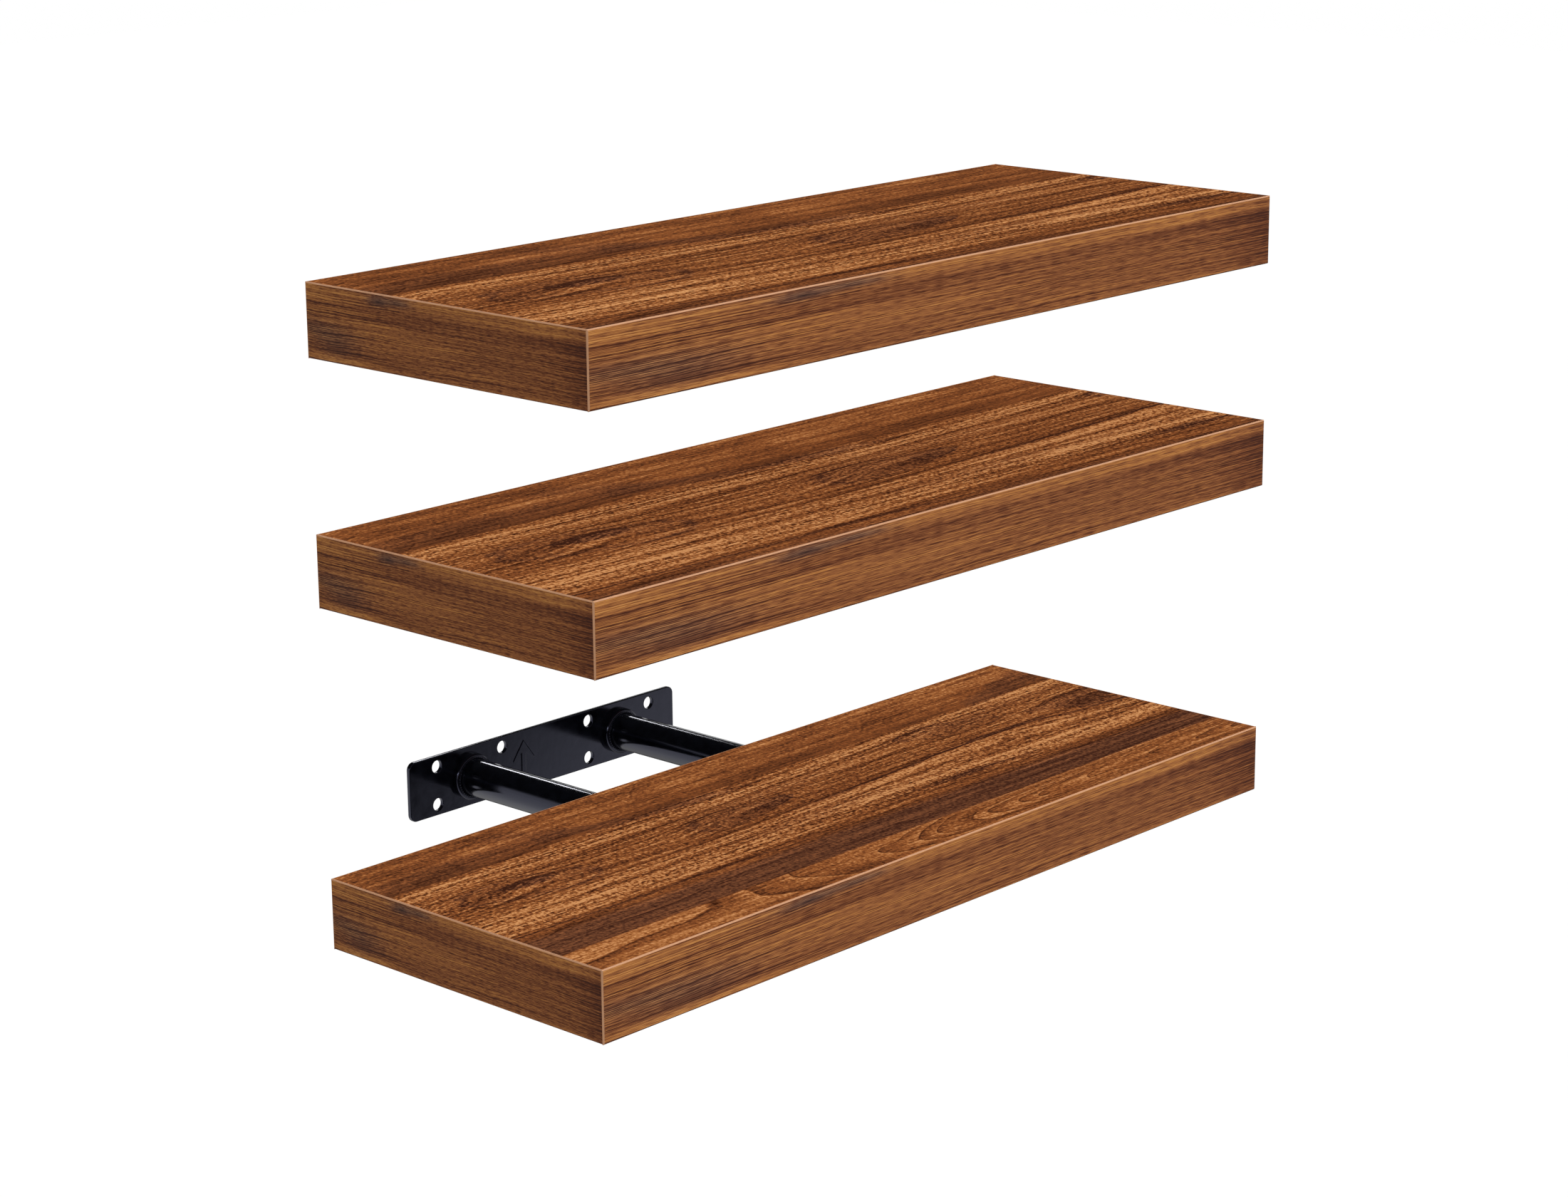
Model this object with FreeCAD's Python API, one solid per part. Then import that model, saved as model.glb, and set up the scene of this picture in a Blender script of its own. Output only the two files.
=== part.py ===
import FreeCAD, Part
import math
import os

# Set of three floating wall shelves. Each one is a hollow-core board that slides onto two steel
# rods, which stand out of a plate screwed to the wall. The two upper boards are home on their
# brackets and hide them. The lower board is drawn most of the way off, so its bracket shows.
#
# Millimetres. X runs along the shelves, the front is -Y, Z is up. The origin is the centre of the
# back face of the lower wall plate, where that bracket meets the wall.

os.makedirs("parts", exist_ok=True)

# ---- Driving dimensions ----

# The board, a 24 x 9 in shelf
BOARD_LENGTH = 610.0
BOARD_DEPTH = 229.0
BOARD_THICKNESS = 44.0
PANEL_THICKNESS = 3.0        # printed fibreboard skin, above and below
BAND_THICKNESS = 1.0         # plastic edge band
BAND_EDGE_BEVEL = 0.7        # its outer edges, trimmed at 45 degrees
RAIL_WIDTH = 30.0            # chipboard frame inside
ROD_BLOCK_WIDTH = 64.0       # bored cross rail around each rod
BORE_FRONT_MARGIN = 44.0     # from the end of a bore to the front of the board
CELL_SIZE = 50.0             # paper honeycomb, across the flats of a cell
CELL_WALL = 1.0

# The bracket
ROD_SPACING = 138.0          # between the axes of the two rods
ROD_DIAMETER = 25.0
ROD_WALL = 2.0
COLLAR_WIDTH = 3.2           # ring upset round the foot of each rod, where it is welded
COLLAR_HEIGHT = 4.7
COLLAR_CHAMFER = 1.4
PLATE_HEIGHT = 40.5
PLATE_THICKNESS = 3.0
PLATE_CORNER_RADIUS = 5.0
SCREW_HOLE_DIAMETER = 8.5
SCREW_HOLE_FROM_ROD = 29.0   # to each side of a rod's axis
SCREW_HOLE_FROM_EDGE = 7.25  # hole centre to the plate's top or bottom edge
SCREW_HOLE_FROM_END = 24.0   # hole centre to the plate's end

# The raised arrow that shows which way up the plate goes
ARROW_X = -21.0
ARROW_FROM_TOP = 6.25
ARROW_FROM_BOTTOM = 7.25
ARROW_HEAD_WIDTH = 20.0
ARROW_HEAD_DROP = 13.5       # from the tip to the ends of the barbs
ARROW_BARB_END = 1.6
ARROW_NOTCH_DROP = 10.0      # from the tip to where the barbs meet the shaft
ARROW_SHAFT_WIDTH = 4.6
ARROW_RELIEF = 0.5

# Clearances
ROD_CLEARANCE = 0.3          # all round a rod, in its bore
ROD_END_CLEARANCE = 5.0      # from a rod's tip to the end of its bore
COLLAR_CLEARANCE = 0.5       # round and in front of a collar, in the recess at the mouth of its bore
SEAT_CLEARANCE = 1.2         # from the plate to the back of a board that is home, for flat screw heads

# How the three shelves stand
ROD_LEFT_IN_LOWER = 43.2     # how much of its rods is still inside the lower board
LOWER_TO_MIDDLE = 209.0
MIDDLE_TO_UPPER = 147.0

# ---- Worked-out sizes ----

CORE_HEIGHT = BOARD_THICKNESS - 2 * PANEL_THICKNESS
INNER_LENGTH = BOARD_LENGTH - 2 * BAND_THICKNESS
INNER_DEPTH = BOARD_DEPTH - 2 * BAND_THICKNESS
BAY_DEPTH = INNER_DEPTH - 2 * RAIL_WIDTH
BORE_DIAMETER = ROD_DIAMETER + 2 * ROD_CLEARANCE
BORE_DEPTH = BOARD_DEPTH - BORE_FRONT_MARGIN
ROD_REACH = BORE_DEPTH - ROD_END_CLEARANCE       # rod inside a board that is home
ROD_LENGTH = SEAT_CLEARANCE + ROD_REACH
COLLAR_DIAMETER = ROD_DIAMETER + 2 * COLLAR_WIDTH
RECESS_DIAMETER = COLLAR_DIAMETER + 2 * COLLAR_CLEARANCE
RECESS_DEPTH = COLLAR_HEIGHT - SEAT_CLEARANCE + COLLAR_CLEARANCE
LOWER_DRAWN_OFF = ROD_REACH - ROD_LEFT_IN_LOWER
PLATE_LENGTH = ROD_SPACING + 2 * (SCREW_HOLE_FROM_ROD + SCREW_HOLE_FROM_END)

SIDES = {"left": -1, "right": 1}
FORWARD = FreeCAD.Vector(0, -1, 0)
UP = FreeCAD.Vector(0, 0, 1)


def block(x0, x1, y0, y1, z0, z1):
    """A box between its limits, given in any order."""
    corner = FreeCAD.Vector(min(x0, x1), min(y0, y1), min(z0, z1))
    return Part.makeBox(abs(x1 - x0), abs(y1 - y0), abs(z1 - z0), corner)


def rod_cylinder(x, diameter, y_back, length):
    """A cylinder on a rod's axis, from its back end towards the front."""
    return Part.makeCylinder(diameter / 2, length, FreeCAD.Vector(x, y_back, 0), FORWARD)


# ---- Board: the back face of each piece's board is at y = 0, its middle height at z = 0 ----


def panel(side):
    """A skin that lies between the edge bands; side is 1 for the top and -1 for the bottom."""
    x = INNER_LENGTH / 2
    z = side * BOARD_THICKNESS / 2
    y_back = -BAND_THICKNESS
    return block(-x, x, y_back, y_back - INNER_DEPTH, z, z - side * PANEL_THICKNESS)


def long_rail(y_back):
    """A frame rail over the whole inner length."""
    x = INNER_LENGTH / 2
    z = CORE_HEIGHT / 2
    return block(-x, x, y_back, y_back - RAIL_WIDTH, -z, z)


def front_rail():
    return long_rail(-BAND_THICKNESS - INNER_DEPTH + RAIL_WIDTH)


def back_rail():
    """The rail that the rods enter through."""
    rail = long_rail(-BAND_THICKNESS)
    for sign in SIDES.values():
        rail = rail.cut(rod_cylinder(sign * ROD_SPACING / 2, BORE_DIAMETER, 0, BORE_DEPTH))
        rail = rail.cut(rod_cylinder(sign * ROD_SPACING / 2, RECESS_DIAMETER, 0, RECESS_DEPTH))
    return rail


def side_rail(sign):
    """A short rail between the two long ones, at one end of the board."""
    x = sign * INNER_LENGTH / 2
    y_back = -BAND_THICKNESS - RAIL_WIDTH
    z = CORE_HEIGHT / 2
    return block(x, x - sign * RAIL_WIDTH, y_back, y_back - BAY_DEPTH, -z, z)


def rod_block(sign):
    """A cross rail with the blind bore that holds a rod."""
    x = sign * ROD_SPACING / 2
    y_back = -BAND_THICKNESS - RAIL_WIDTH
    z = CORE_HEIGHT / 2
    body = block(x - ROD_BLOCK_WIDTH / 2, x + ROD_BLOCK_WIDTH / 2, y_back, y_back - BAY_DEPTH, -z, z)
    return body.cut(rod_cylinder(x, BORE_DIAMETER, 0, BORE_DEPTH))


def honeycomb_bay(x0, x1):
    """Expanded paper comb with a folded border, between two cross pieces of the frame."""
    z0 = -CORE_HEIGHT / 2
    y_back = -BAND_THICKNESS - RAIL_WIDTH
    width = x1 - x0
    sheet = Part.makePlane(width, BAY_DEPTH, FreeCAD.Vector(x0, y_back - BAY_DEPTH, z0))
    inside = Part.makePlane(
        width - 2 * CELL_WALL,
        BAY_DEPTH - 2 * CELL_WALL,
        FreeCAD.Vector(x0 + CELL_WALL, y_back - BAY_DEPTH + CELL_WALL, z0),
    )
    row_pitch = CELL_SIZE * math.sqrt(3) / 2
    columns = math.ceil(width / CELL_SIZE / 2) + 1
    rows = math.ceil(BAY_DEPTH / row_pitch / 2)
    corner_radius = (CELL_SIZE - CELL_WALL) / math.sqrt(3)
    smallest_hole = CELL_SIZE * CELL_SIZE / 8
    holes = []
    for row in range(-rows, rows + 1):
        for column in range(-columns, columns + 1):
            x = (x0 + x1) / 2 + (column + 0.5 * (row % 2)) * CELL_SIZE
            y = y_back - BAY_DEPTH / 2 + row * row_pitch
            corners = []
            for step in range(7):
                angle = math.radians(30 + 60 * step)
                corners.append(
                    FreeCAD.Vector(
                        x + corner_radius * math.cos(angle), y + corner_radius * math.sin(angle), z0
                    )
                )
            cell = Part.Face(Part.makePolygon(corners)).common(inside)
            if cell.Area > smallest_hole:
                holes.append(cell)
    return sheet.cut(holes).Faces[0].extrude(UP * CORE_HEIGHT)


def honeycomb():
    """The comb in its three bays: outside the rod blocks and between them."""
    rail_x = INNER_LENGTH / 2 - RAIL_WIDTH
    outer_x = ROD_SPACING / 2 + ROD_BLOCK_WIDTH / 2
    inner_x = ROD_SPACING / 2 - ROD_BLOCK_WIDTH / 2
    bays = [(-rail_x, -outer_x), (-inner_x, inner_x), (outer_x, rail_x)]
    return Part.makeCompound([honeycomb_bay(x0, x1) for x0, x1 in bays])


def long_band(y_outer, inward):
    """An edge band over the whole length, with its outer edges trimmed."""
    x = BOARD_LENGTH / 2
    z = BOARD_THICKNESS / 2
    strip = block(-x, x, y_outer, y_outer + inward * BAND_THICKNESS, -z, z)
    outer_edges = [e for e in strip.Edges if abs(e.CenterOfMass.y - y_outer) < BAND_THICKNESS / 4]
    return strip.makeChamfer(min(BAND_EDGE_BEVEL, 0.9 * BAND_THICKNESS), outer_edges)


def front_band():
    return long_band(-BOARD_DEPTH, 1)


def back_band():
    """The band on the back, pierced for the rods and their collars."""
    band = long_band(0, -1)
    for sign in SIDES.values():
        band = band.cut(rod_cylinder(sign * ROD_SPACING / 2, RECESS_DIAMETER, 0, RECESS_DEPTH))
    return band


def end_band(sign):
    """The band on one end, between the two long bands."""
    x_outer = sign * BOARD_LENGTH / 2
    z = BOARD_THICKNESS / 2
    y_back = -BAND_THICKNESS
    strip = block(x_outer, x_outer - sign * BAND_THICKNESS, y_back, y_back - INNER_DEPTH, -z, z)
    long_edges = []
    for edge in strip.Edges:
        centre = edge.CenterOfMass
        if abs(centre.x - x_outer) < BAND_THICKNESS / 4 and abs(centre.z) > z / 2:
            long_edges.append(edge)
    return strip.makeChamfer(min(BAND_EDGE_BEVEL, 0.9 * BAND_THICKNESS), long_edges)


def board():
    """Every piece of one board, by name."""
    pieces = {
        "top_panel": panel(1),
        "bottom_panel": panel(-1),
        "front_rail": front_rail(),
        "back_rail": back_rail(),
        "honeycomb": honeycomb(),
        "front_edge_band": front_band(),
        "back_edge_band": back_band(),
    }
    for side, sign in SIDES.items():
        pieces[side + "_rail"] = side_rail(sign)
        pieces[side + "_rod_block"] = rod_block(sign)
        pieces[side + "_edge_band"] = end_band(sign)
    return pieces


# ---- Bracket: the back face of the plate is at y = 0, its middle height at z = 0 ----


def arrow():
    """An up arrow with swept-back barbs, raised from the front of the plate."""
    top = PLATE_HEIGHT / 2 - ARROW_FROM_TOP
    bottom = -PLATE_HEIGHT / 2 + ARROW_FROM_BOTTOM
    barb_x = ARROW_HEAD_WIDTH / 2
    shaft_x = ARROW_SHAFT_WIDTH / 2
    half = [
        (barb_x, top - ARROW_HEAD_DROP),
        (barb_x - ARROW_BARB_END / 2, top - ARROW_HEAD_DROP - ARROW_BARB_END),
        (shaft_x, top - ARROW_NOTCH_DROP),
        (shaft_x, bottom),
    ]
    outline = [(0, top)] + half + [(-x, z) for x, z in reversed(half)] + [(0, top)]
    points = [FreeCAD.Vector(ARROW_X + x, -PLATE_THICKNESS, z) for x, z in outline]
    return Part.Face(Part.makePolygon(points)).extrude(FORWARD * ARROW_RELIEF)


def wall_plate():
    """The pierced plate: round corners, two rows of four screw holes and the raised arrow."""
    x = PLATE_LENGTH / 2
    z = PLATE_HEIGHT / 2
    plate = block(-x, x, 0, -PLATE_THICKNESS, -z, z)
    corners = [e for e in plate.Edges if abs(e.CenterOfMass.x) > 0.9 * x and abs(e.CenterOfMass.z) > 0.9 * z]
    plate = plate.makeFillet(min(PLATE_CORNER_RADIUS, 0.45 * PLATE_HEIGHT), corners)
    hole_z = z - SCREW_HOLE_FROM_EDGE
    holes = []
    for rod_sign in SIDES.values():
        for hole_sign in SIDES.values():
            hole_x = rod_sign * ROD_SPACING / 2 + hole_sign * SCREW_HOLE_FROM_ROD
            for height in (-hole_z, hole_z):
                start = FreeCAD.Vector(hole_x, PLATE_THICKNESS, height)
                holes.append(
                    Part.makeCylinder(SCREW_HOLE_DIAMETER / 2, 3 * PLATE_THICKNESS, start, FORWARD)
                )
    return plate.fuse(arrow()).cut(holes)


def rod(sign):
    """A steel tube, open at its tip, with the ring at its foot that is welded to the plate."""
    x = sign * ROD_SPACING / 2
    y_back = -PLATE_THICKNESS
    tube = rod_cylinder(x, ROD_DIAMETER, y_back, ROD_LENGTH)
    ring = rod_cylinder(x, COLLAR_DIAMETER, y_back, COLLAR_HEIGHT)
    chamfer = min(COLLAR_CHAMFER, 0.8 * COLLAR_WIDTH, 0.8 * COLLAR_HEIGHT)
    y_front = y_back - COLLAR_HEIGHT
    ring = ring.makeChamfer(chamfer, [e for e in ring.Edges if abs(e.CenterOfMass.y - y_front) < 0.01])
    hollow = rod_cylinder(x, ROD_DIAMETER - 2 * ROD_WALL, y_back, ROD_LENGTH)
    return tube.fuse(ring).cut(hollow).removeSplitter()


def bracket():
    """Every piece of one bracket, by name."""
    pieces = {"wall_plate": wall_plate()}
    for side, sign in SIDES.items():
        pieces[side + "_rod"] = rod(sign)
    return pieces


# ---- The set ----
# Each shelf is its wall plate's place and how far its board is off its home place. The upper two
# plates stand forward by as much as the lower board is drawn off, so that the boards line up.

SHELVES = {
    "lower": (0.0, 0.0, LOWER_DRAWN_OFF),
    "middle": (-LOWER_DRAWN_OFF, LOWER_TO_MIDDLE, 0.0),
    "upper": (-LOWER_DRAWN_OFF, LOWER_TO_MIDDLE + MIDDLE_TO_UPPER, 0.0),
}


def export(pieces, shelf, y, z):
    """Writes one file per piece, with the pieces moved to their shelf's place."""
    for name, shape in pieces.items():
        placed = shape.copy()
        placed.translate(FreeCAD.Vector(0, y, z))
        placed.exportStep("parts/" + shelf + "_" + name + ".step")


board_pieces = board()
bracket_pieces = bracket()
for shelf, (plate_y, height, drawn_off) in SHELVES.items():
    export(bracket_pieces, shelf, plate_y, height)
    export(board_pieces, shelf, plate_y - PLATE_THICKNESS - SEAT_CLEARANCE - drawn_off, height)
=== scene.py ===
import functools
import math

import bmesh
import bpy
from mathutils import Matrix, Vector


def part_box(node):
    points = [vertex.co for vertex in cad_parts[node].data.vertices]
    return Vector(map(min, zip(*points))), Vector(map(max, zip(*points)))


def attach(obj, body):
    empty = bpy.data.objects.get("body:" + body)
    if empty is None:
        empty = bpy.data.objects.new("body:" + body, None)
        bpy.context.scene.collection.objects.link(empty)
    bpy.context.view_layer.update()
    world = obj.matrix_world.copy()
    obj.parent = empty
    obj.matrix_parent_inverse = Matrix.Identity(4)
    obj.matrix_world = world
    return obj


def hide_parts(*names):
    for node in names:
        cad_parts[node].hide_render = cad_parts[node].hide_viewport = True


# Set of three floating wall shelves: hollow walnut-print boards that slide onto black steel
# brackets. Metres, X along the shelves, the front is -Y, Z is up. Sizes below are millimetres.

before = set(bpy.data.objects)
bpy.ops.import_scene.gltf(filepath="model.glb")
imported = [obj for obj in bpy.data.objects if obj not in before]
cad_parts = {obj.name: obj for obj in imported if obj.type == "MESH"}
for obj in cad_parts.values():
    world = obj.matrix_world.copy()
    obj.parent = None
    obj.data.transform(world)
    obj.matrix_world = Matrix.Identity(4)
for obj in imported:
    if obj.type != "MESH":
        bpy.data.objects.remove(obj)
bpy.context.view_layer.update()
scene = bpy.context.scene


# ---- Camera ----
# It stands to the left of the shelves, in front of them and a little above, and looks along a
# long lens. The focal length and the place are those at which the boards' corners fit.

MM = 0.001
IMAGE_WIDTH_PX = 2201
FOCAL_PX = 5049.3
SENSOR_WIDTH = 36.0
CAMERA_CLIP = (0.05, 60.0)
CAMERA_AT = Vector((-1589.5, -1707.5, 723.8)) * MM
CAMERA_YAW, CAMERA_PITCH, CAMERA_ROLL = (math.radians(a) for a in (46.98, 14.88, -0.53))

camera = bpy.data.objects.new("camera", bpy.data.cameras.new("camera"))
camera.data.sensor_width = SENSOR_WIDTH
camera.data.lens = FOCAL_PX / IMAGE_WIDTH_PX * SENSOR_WIDTH
camera.data.clip_start, camera.data.clip_end = CAMERA_CLIP
ahead = Vector((
    math.sin(CAMERA_YAW) * math.cos(CAMERA_PITCH),
    math.cos(CAMERA_YAW) * math.cos(CAMERA_PITCH),
    -math.sin(CAMERA_PITCH),
))
level = Vector((math.cos(CAMERA_YAW), -math.sin(CAMERA_YAW), 0.0))
above = level.cross(ahead)
right = level * math.cos(CAMERA_ROLL) + above * math.sin(CAMERA_ROLL)
up = above * math.cos(CAMERA_ROLL) - level * math.sin(CAMERA_ROLL)
turn = Matrix((right, up, -ahead)).transposed()
camera.matrix_world = Matrix.Translation(CAMERA_AT) @ turn.to_4x4()
scene.collection.objects.link(camera)
scene.camera = camera


# ---- Studio ----
# A white room with a dim ceiling and a plain white floor far below the shelves, under soft light
# from the front right, the left and behind. In gloss the floor shows graded: a white card lies in
# front, on the right, and behind the shelves it darkens to the right.

AMBIENT_LIGHT = 0.25
CEILING_LIGHT = 0.02
# how steeply a direction rises where the white walls end, and where the ceiling is full
CEILING_RISE = (0.10, 0.30)
FLOOR_Z = -1.25
FLOOR_HALF_WIDTH = 14.0
# how pale the floor's paint is, how far a plain white covers it for the eye, and that white
FLOOR_PAINT = 0.40
FLOOR_GLOW = 0.90
FLOOR_WHITE = 1.08
# the card's edge runs aslant: it lies where y times the slant, plus x, is between these two
CARD_SLANT = 1.5
CARD_EDGE = (-1.82, -1.65)
# behind: from where to where the floor darkens along X, and how bright it is at both
BEHIND_X = (-0.6, 1.1)
BEHIND_GLOW = (1.10, 0.03)
# from where to where along Y the floor behind passes into the one in front
FRONT_Y = (-0.5, -1.5)
# name, direction to the lamp, irradiance as a share of full daylight white, angle across it, and
# whether it is a narrow strip that only glints in the paint
LAMPS = (
    ("front_softbox", (0.30, -0.64, 0.71), 0.90, 20, False),
    ("left_softbox", (-0.75, -0.25, 0.61), 0.22, 30, False),
    ("back_softbox", (-0.35, 0.92, 0.18), 0.16, 30, False),
    ("rim_strip", (0.57, 0.70, 0.42), 0.024, 5, True),
    ("side_strip", (-0.89, -0.26, 0.27), 0.14, 10, True),
)


def add_node(tree, kind, inputs=None, stops=None, **settings):
    """Adds one node with its settings; inputs are values, or sockets and nodes to link from."""
    made = tree.nodes.new(kind)
    for name, value in settings.items():
        setattr(made, name, value)
    for key, value in (inputs or {}).items():
        if isinstance(value, bpy.types.Node):
            value = next(socket for socket in value.outputs if socket.enabled)
        if isinstance(value, bpy.types.NodeSocket):
            tree.links.new(value, made.inputs[key])
        else:
            made.inputs[key].default_value = value
    if stops:
        elements = made.color_ramp.elements
        while len(elements) > 1:
            elements.remove(elements[-1])
        elements[0].position, elements[0].color = stops[0]
        for place, colour in stops[1:]:
            elements.new(place).color = colour
    return made


scene.view_settings.view_transform = "Standard"
scene.world = bpy.data.worlds.new("studio_room")
scene.world.use_nodes = True
tree = scene.world.node_tree
tree.nodes.clear()
path = add_node(tree, "ShaderNodeLightPath")
seen = add_node(
    tree, "ShaderNodeMath", {0: path.outputs["Is Camera Ray"], 1: path.outputs["Is Transmission Ray"]},
    operation="MAXIMUM",
)
direction = add_node(tree, "ShaderNodeTexCoord")
height = add_node(tree, "ShaderNodeSeparateXYZ", {0: direction.outputs["Generated"]})
ceiling = add_node(
    tree, "ShaderNodeMapRange",
    {"Value": height.outputs["Z"], "From Min": CEILING_RISE[0], "From Max": CEILING_RISE[1],
     "To Min": 1.0, "To Max": CEILING_LIGHT},
    interpolation_type="SMOOTHSTEP",
)
mirrored = add_node(
    tree, "ShaderNodeMix",
    {0: path.outputs["Is Glossy Ray"], 2: AMBIENT_LIGHT, 3: ceiling.outputs[0]}, data_type="FLOAT",
)
strength = add_node(
    tree, "ShaderNodeMix", {0: seen.outputs[0], 2: mirrored.outputs[0], 3: 1.0}, data_type="FLOAT"
)
background = add_node(
    tree, "ShaderNodeBackground", {"Color": (1, 1, 1, 1), "Strength": strength.outputs[0]}
)
add_node(tree, "ShaderNodeOutputWorld", {"Surface": background.outputs[0]})

for name, toward, share, angle, glint in LAMPS:
    lamp = bpy.data.objects.new(name, bpy.data.lights.new(name, "SUN"))
    lamp.data.energy = share * math.pi
    lamp.data.angle = math.radians(angle)
    lamp.data.use_shadow = False
    lamp.rotation_mode = "QUATERNION"
    lamp.rotation_quaternion = Vector(toward).to_track_quat("Z", "Y")
    lamp.visible_glossy = glint
    lamp.visible_diffuse = not glint
    scene.collection.objects.link(lamp)

w = FLOOR_HALF_WIDTH
floor_mesh = bpy.data.meshes.new("studio_floor")
floor_mesh.from_pydata(
    [(-w, -w, FLOOR_Z), (w, -w, FLOOR_Z), (w, w, FLOOR_Z), (-w, w, FLOOR_Z)], [], [(0, 1, 2, 3)]
)
floor = bpy.data.objects.new("studio_floor", floor_mesh)
scene.collection.objects.link(floor)
painted_floor = bpy.data.materials.new("white_studio_floor")
painted_floor.use_nodes = True
tree = painted_floor.node_tree
tree.nodes.clear()
path = add_node(tree, "ShaderNodeLightPath")
seen = add_node(
    tree, "ShaderNodeMath", {0: path.outputs["Is Camera Ray"], 1: path.outputs["Is Transmission Ray"]},
    operation="MAXIMUM",
)
seen = add_node(
    tree, "ShaderNodeMath", {0: seen.outputs[0], 1: path.outputs["Is Glossy Ray"]}, operation="MAXIMUM"
)
glow = add_node(tree, "ShaderNodeMath", {0: seen.outputs[0], 1: FLOOR_GLOW}, operation="MULTIPLY")
paint = add_node(tree, "ShaderNodeBsdfDiffuse", {"Color": (FLOOR_PAINT,) * 3 + (1,)})
# what gloss mirrors: the card in front, and the graded floor behind
spot = add_node(tree, "ShaderNodeTexCoord")
on_floor = add_node(tree, "ShaderNodeSeparateXYZ", {0: spot.outputs["Object"]})
slant = add_node(
    tree, "ShaderNodeMath", {0: on_floor.outputs["Y"], 1: CARD_SLANT, 2: on_floor.outputs["X"]},
    operation="MULTIPLY_ADD",
)
card = add_node(
    tree, "ShaderNodeMapRange",
    {"Value": slant.outputs[0], "From Min": CARD_EDGE[0], "From Max": CARD_EDGE[1]},
    interpolation_type="SMOOTHSTEP",
)
behind = add_node(
    tree, "ShaderNodeMapRange",
    {"Value": on_floor.outputs["X"], "From Min": BEHIND_X[0], "From Max": BEHIND_X[1],
     "To Min": BEHIND_GLOW[0], "To Max": BEHIND_GLOW[1]},
)
in_front = add_node(
    tree, "ShaderNodeMapRange",
    {"Value": on_floor.outputs["Y"], "From Min": FRONT_Y[0], "From Max": FRONT_Y[1]},
)
lit = add_node(
    tree, "ShaderNodeMix", {0: in_front.outputs[0], 2: behind.outputs[0], 3: card.outputs[0]},
    data_type="FLOAT",
)
lit = add_node(
    tree, "ShaderNodeMix", {0: path.outputs["Is Glossy Ray"], 2: 1.0, 3: lit.outputs[0]},
    data_type="FLOAT",
)
lit = add_node(tree, "ShaderNodeMath", {0: lit.outputs[0], 1: FLOOR_WHITE}, operation="MULTIPLY")
white = add_node(tree, "ShaderNodeEmission", {"Color": (1, 1, 1, 1), "Strength": lit.outputs[0]})
mixed = add_node(tree, "ShaderNodeMixShader", {0: glow.outputs[0], 1: paint.outputs[0], 2: white.outputs[0]})
add_node(tree, "ShaderNodeOutputMaterial", {"Surface": mixed.outputs[0]})
floor_mesh.materials.append(painted_floor)


# ---- Wall plates ----
# A strip of 3 mm mild steel with round corners, two rows of four screw holes and a raised arrow
# that shows which way is up. It is coated in gloss black paint, and screwed flat to the wall.

SHELVES = ("lower", "middle", "upper")
PLATE_THICKNESS = 3.0
PLATE_CORNER_RADIUS = 5.0
PLATE_EDGE_ROUNDING = 0.45
ROUNDING_STEPS = 8
SCREW_HOLE_RADIUS = 4.25
SCREW_HOLE_XS = (-98.0, -40.0, 40.0, 98.0)
SCREW_HOLE_Z = 13.0
SCREW_HOLE_STEPS = 48
ARROW_X = -21.0
# x from the arrow's middle line and z from the plate's, down its right side from the tip
ARROW_SIDE = ((10.0, 0.5), (9.2, -1.1), (2.3, 4.0), (2.3, -13.0))
ARROW_TIP_Z = 14.0
ARROW_RELIEF = 0.5
# how wide its sloping sides are, and the thin flat edge between the front slope and the back one
ARROW_SLOPE = 0.7
ARROW_FLAT = 0.02
# corners this close, in metres, are one; a face with more of its normal than this along Y is flat
# across Y; and an edge that turns more than this is shaded sharp
SAME_POINT = 1e-6
FLAT_ACROSS_Y = 0.999
SHARP_ANGLE = math.radians(32)


def linear(hex_colour):
    """An sRGB hex colour as the linear RGBA that the nodes take."""
    values = [int(hex_colour[i:i + 2], 16) / 255 for i in (1, 3, 5)]
    return tuple(v / 12.92 if v <= 0.04045 else ((v + 0.055) / 1.055) ** 2.4 for v in values) + (1.0,)


def tones(stops):
    """Colour ramp stops from (place, sRGB hex colour) pairs."""
    return [(place, linear(colour)) for place, colour in stops]


def new_material(name):
    """An empty node material, its Principled shader and its Object coordinates."""
    material = bpy.data.materials.new(name)
    material.use_nodes = True
    tree = material.node_tree
    tree.nodes.clear()
    shader = add_node(tree, "ShaderNodeBsdfPrincipled")
    add_node(tree, "ShaderNodeOutputMaterial", {"Surface": shader.outputs[0]})
    place = add_node(tree, "ShaderNodeTexCoord")
    return material, tree, shader, place


def arc(cx, cy, radius, start, end, steps):
    """Points along an arc with both its ends, angles in degrees."""
    angles = [math.radians(start + (end - start) * i / steps) for i in range(steps + 1)]
    return [(cx + radius * math.cos(angle), cy + radius * math.sin(angle)) for angle in angles]


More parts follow.
